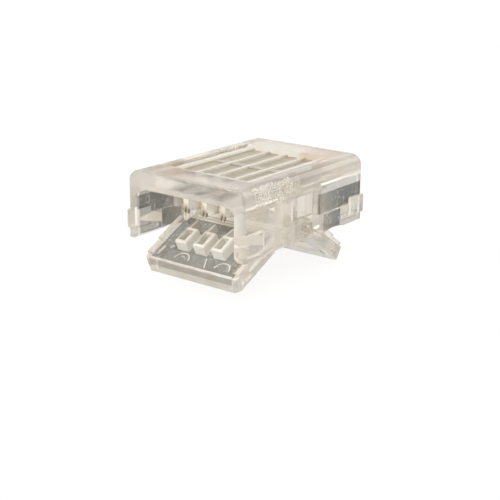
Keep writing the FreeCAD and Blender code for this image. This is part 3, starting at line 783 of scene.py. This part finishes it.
def add_anvil(shape, y):
    """Skin of one anvil block: chamfered walls round an open pocket, whose depth carries painted
    shade.
    """
    x0, x1 = BLOCK_FRONT - BLOCK_LENGTH - SKIN, BLOCK_FRONT + SKIN
    y0, y1 = y - BLOCK_WIDTH / 2 - SKIN, y + BLOCK_WIDTH / 2 + SKIN
    inset, crown = BLOCK_CHAMFER, BLOCK_TOP + SKIN
    pocket_end = BLOCK_FRONT - POCKET_FRONT_WALL - SKIN
    pocket_start = BLOCK_FRONT - POCKET_FRONT_WALL - POCKET_LENGTH + SKIN
    pocket_low = y - POCKET_SHIFT - POCKET_WIDTH / 2 + SKIN
    pocket_high = y - POCKET_SHIFT + POCKET_WIDTH / 2 - SKIN
    outline = (x0, x1, y0, y1)
    top = (x0 + inset, x1 - inset, y0 + inset, y1 - inset)
    pocket = (pocket_start, pocket_end, pocket_low, pocket_high)
    levels = [(outline, BLOCK_FOOT), (outline, BLOCK_TOP - BLOCK_CHAMFER), (top, crown),
              (pocket, crown), (pocket, BLOCK_TOP - POCKET_DEPTH / 3),
              (pocket, BLOCK_TOP - POCKET_DEPTH + SKIN)]
    rings = [ring_of(shape, *corners, level) for corners, level in levels]
    for lower, upper in zip(rings, rings[1:]):
        # The pocket's lower walls and floor take the second finish, painted shade
        bridge(shape, lower, upper, 1 if upper is rings[-1] else 0)
    shape.faces.new(rings[0])
    shape.faces.new(rings[-1]).material_index = 1


def add_fin(shape, y):
    """Skin of the thin fin that runs back from one wall of an anvil block."""
    y0, y1 = y - BLOCK_WIDTH / 2 - SKIN, y - BLOCK_WIDTH / 2 + FIN_WIDTH + SKIN
    end = BLOCK_FRONT - BLOCK_LENGTH
    start = end - FIN_LENGTH - SKIN
    lower = ring_of(shape, start, end, y0, y1, BLOCK_FOOT)
    corners = ((start, y0, FIN_END), (end, y0, FIN_START), (end, y1, FIN_START),
               (start, y1, FIN_END))
    upper = [shape.verts.new((x, side, z + SKIN)) for x, side, z in corners]
    bridge(shape, lower, upper)
    shape.faces.new(lower)
    shape.faces.new(upper)


def finished_piece(name, shape, materials):
    """A piece with its faces turned outwards and its finishes, from a shape that is then freed."""
    bmesh.ops.recalc_face_normals(shape, faces=shape.faces)
    mesh = bpy.data.meshes.new(name)
    shape.to_mesh(mesh)
    shape.free()
    for material in materials:
        mesh.materials.append(material)
    piece = bpy.data.objects.new(name, mesh)
    bpy.context.scene.collection.objects.link(piece)
    return piece


def make_anvils(name, body, hinge, turn, opening, materials):
    """The three anvils of one flap with their fins, bright with painted highlight, in place on the
    open flap.
    """
    shape = bmesh.new()
    for row in (-1, 0, 1):
        add_anvil(shape, row * CONTACT_PITCH)
        add_fin(shape, row * CONTACT_PITCH)
    swing = Matrix.Rotation(turn, 4, "Z") @ Matrix.Rotation(math.radians(opening), 4, "Y")
    closed = Matrix.Scale(MM, 4) @ Matrix.Translation((-HINGE_PLACE, 0.0, -HINGE_HEIGHT))
    shape.transform(Matrix.Translation(hinge) @ swing @ closed)
    piece = finished_piece(name, shape, materials)
    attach(piece, body)


def add_catch(shape, along, across):
    """Skin of one catch wedge, in the corner that the two signs name."""
    rings = []
    for x, low, high, inner in CATCH_STATIONS:
        face = inner - SKIN
        corners = ((face, low - SKIN), (face, high + SKIN), (CATCH_ROOT, high + SKIN),
                   (CATCH_ROOT, low - SKIN))
        rings.append([shape.verts.new((along * x * MM, across * y * MM, (FOOT + z) * MM))
                      for y, z in corners])
    for lower, upper in zip(rings, rings[1:]):
        bridge(shape, lower, upper)
    shape.faces.new(rings[0])
    shape.faces.new(rings[-1])


def make_catches():
    """Skins of the four catch wedges inside the side walls, milky cream as painted highlight."""
    shape = bmesh.new()
    for along in (-1, 1):
        for across in (-1, 1):
            add_catch(shape, along, across)
    # Milky cream as painted highlight on the catch wedges
    finish = milky_finish("catch_highlight_resin", HIGHLIGHT_CREAM, clarity=0.4, polish=0.05,
                          grain_size=900.0, strength=0.5, corner_radius=0.1)
    piece = finished_piece("catch_wedges", shape, [finish])
    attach(piece, "body")


dress("housing", housing_finish())
dress("near_flap", flap_finish("clear_near_flap_resin", near_hinge, math.pi, NEAR_OPEN))
dress("far_flap", flap_finish("clear_far_flap_resin", far_hinge, 0.0, FAR_OPEN))
brass = brass_finish()
for contact in ("contact_1", "contact_2", "contact_3"):
    dress(contact, brass)
make_satin_cells()
make_shoulder_pips()
make_panel_bars()
make_catches()
# Painted highlight on the anvil and fin skins
anvil_highlight_finish = milky_finish("anvil_highlight_resin", HIGHLIGHT_WHITE, clarity=0.56, polish=0.03,
                            grain_size=1500.0, strength=0.35, corner_radius=0.1)
# Painted shade in the anvil pockets
pocket_shade_finish = milky_finish("anvil_pocket_shade_resin", POCKET_SHADE, clarity=0.45, polish=0.25,
                             grain_size=1500.0, strength=0.08)
anvil_finishes = [anvil_highlight_finish, pocket_shade_finish]
make_anvils("near_anvils", "near_flap", near_hinge, math.pi, NEAR_OPEN, anvil_finishes)
make_anvils("far_anvils", "far_flap", far_hinge, 0.0, FAR_OPEN, anvil_finishes)


# Camera, from the photograph's own perspective: degrees, millimetres and pixels
VIEW_AZIMUTH = -52.492
VIEW_ELEVATION = 17.957
VIEW_ROLL = 0.408
VIEW_DISTANCE = 111.62
VIEW_RIGHT = -0.16
VIEW_UP = 2.451
FOCAL_PIXELS = 1065.48
PHOTO_WIDTH = 500
SENSOR = 36.0

# Bright windows of the light tent: direction, half width in degrees, and strength
LAMPS = [
    ((-0.25, -0.35, 0.9), 18.0, 1.2),
    ((0.75, -0.31, 0.58), 16.0, 2.6),
    ((-0.31, 0.58, 0.75), 10.0, 4.2),
    ((-0.9, -0.1, 0.5), 17.0, 4.6),
]
LAMP_EDGE = 0.012

# The tent itself: warm white, dimming from its bright strength as it faces the camera's side
TENT_TOWARD = (-0.62, -0.62, 0.48)
DIMMING_START = 0.1
DIMMING_END = 0.8
TENT_BRIGHT = 0.82
TENT_DIM = 0.45
TENT_WHITE = (1.0, 0.985, 0.96, 1.0)

# Shares of plain white: in what resin and metal show of the tent, and in the floor as seen
TENT_WHITE_SHARE = 0.35
FLOOR_WHITE_SHARE = 0.86
PAPER = (0.9, 0.9, 0.9, 1.0)


def make_camera():
    """Camera at the photograph's angle, aimed by offsets from the middle of the walls' feet."""
    azimuth = math.radians(VIEW_AZIMUTH)
    elevation = math.radians(VIEW_ELEVATION)
    roll = math.radians(VIEW_ROLL)
    out = math.cos(elevation)
    back = Vector((math.sin(azimuth) * out, -math.cos(azimuth) * out, math.sin(elevation)))
    level = Vector((math.cos(azimuth), math.sin(azimuth), 0.0))
    upright = back.cross(level)
    right = math.cos(roll) * level + math.sin(roll) * upright
    up = -math.sin(roll) * level + math.cos(roll) * upright
    feet = Vector((0.0, 0.0, FOOT))
    place = back * VIEW_DISTANCE - right * VIEW_RIGHT - up * VIEW_UP + feet
    turn = Matrix((right, up, back)).transposed().to_4x4()
    camera = bpy.data.objects.new("camera", bpy.data.cameras.new("camera"))
    camera.matrix_world = Matrix.Translation(place * MM) @ turn
    camera.data.sensor_width = SENSOR
    camera.data.lens = FOCAL_PIXELS / PHOTO_WIDTH * SENSOR
    camera.data.clip_start = 0.005
    camera.data.clip_end = 20.0
    bpy.context.scene.collection.objects.link(camera)
    bpy.context.scene.camera = camera


def make_floor():
    """White studio floor that keeps a soft shadow."""
    size, drop = 3.0, 0.02
    corners = [(-size, -size, 0), (size, -size, 0), (size, size, 0), (-size, size, 0)]
    mesh = bpy.data.meshes.new("floor")
    mesh.from_pydata(corners, [], [(0, 1, 2, 3)])
    floor = bpy.data.objects.new("floor", mesh)
    bpy.context.scene.collection.objects.link(floor)
    floor.location.z = -drop * MM
    material, tree = new_material("white_floor")
    paper = tree.add("ShaderNodeBsdfDiffuse", None, Color=PAPER)
    white = tree.add("ShaderNodeEmission", None, Color=WHITE, Strength=1.0)
    path = tree.add("ShaderNodeLightPath").outputs
    straight = tree.most(path["Is Camera Ray"], path["Is Glossy Ray"])
    seen = tree.most(straight, path["Is Transmission Ray"])
    tree.surface(tree.mixed(tree.times(seen, FLOOR_WHITE_SHARE), paper, white))
    mesh.materials.append(material)


def make_world():
    """Light tent with bright windows, dimmer on the camera's side; the camera sees plain white."""
    world = bpy.data.worlds.new("light_tent")
    world.use_nodes = True
    world.node_tree.nodes.clear()
    bpy.context.scene.world = world
    tree = Tree(world.node_tree)
    way = tree.add("ShaderNodeTexCoord").outputs["Generated"]
    toward = Vector(TENT_TOWARD).normalized()
    facing = tree.vectors("DOT_PRODUCT", way, toward, "Value")
    strength = tree.between(facing, DIMMING_START, DIMMING_END, TENT_BRIGHT, TENT_DIM)
    for lamp, width, power in LAMPS:
        near = tree.vectors("DOT_PRODUCT", way, Vector(lamp).normalized(), "Value")
        edge = math.cos(math.radians(width))
        glow = tree.between(near, edge - LAMP_EDGE, edge, 0.0, power)
        strength = tree.plus(strength, glow)
    path = tree.add("ShaderNodeLightPath").outputs
    passed_on = tree.most(path["Is Glossy Ray"], path["Is Transmission Ray"])
    share = tree.most(path["Is Camera Ray"], tree.times(passed_on, TENT_WHITE_SHARE))
    tent = tree.add("ShaderNodeBackground", None, Color=TENT_WHITE, Strength=strength)
    plain = tree.add("ShaderNodeBackground", None, Color=WHITE, Strength=1.0)
    seen = tree.mixed(share, tent, plain)
    tree.add("ShaderNodeOutputWorld", None, Surface=seen.outputs[0])


def make_sun():
    """A soft key light that gives the shadow its side."""
    lamp = bpy.data.lights.new("key", "SUN")
    lamp.energy = 0.8
    lamp.angle = math.radians(25)
    key = bpy.data.objects.new("key", lamp)
    key.rotation_euler = (math.radians(38), math.radians(-12), math.radians(-30))
    bpy.context.scene.collection.objects.link(key)


make_camera()
make_floor()
make_world()
make_sun()

scene = bpy.context.scene
scene.view_settings.view_transform = "Standard"
scene.cycles.max_bounces = 32
scene.cycles.transmission_bounces = 28
scene.cycles.glossy_bounces = 8
scene.cycles.diffuse_bounces = 4
scene.cycles.transparent_max_bounces = 24
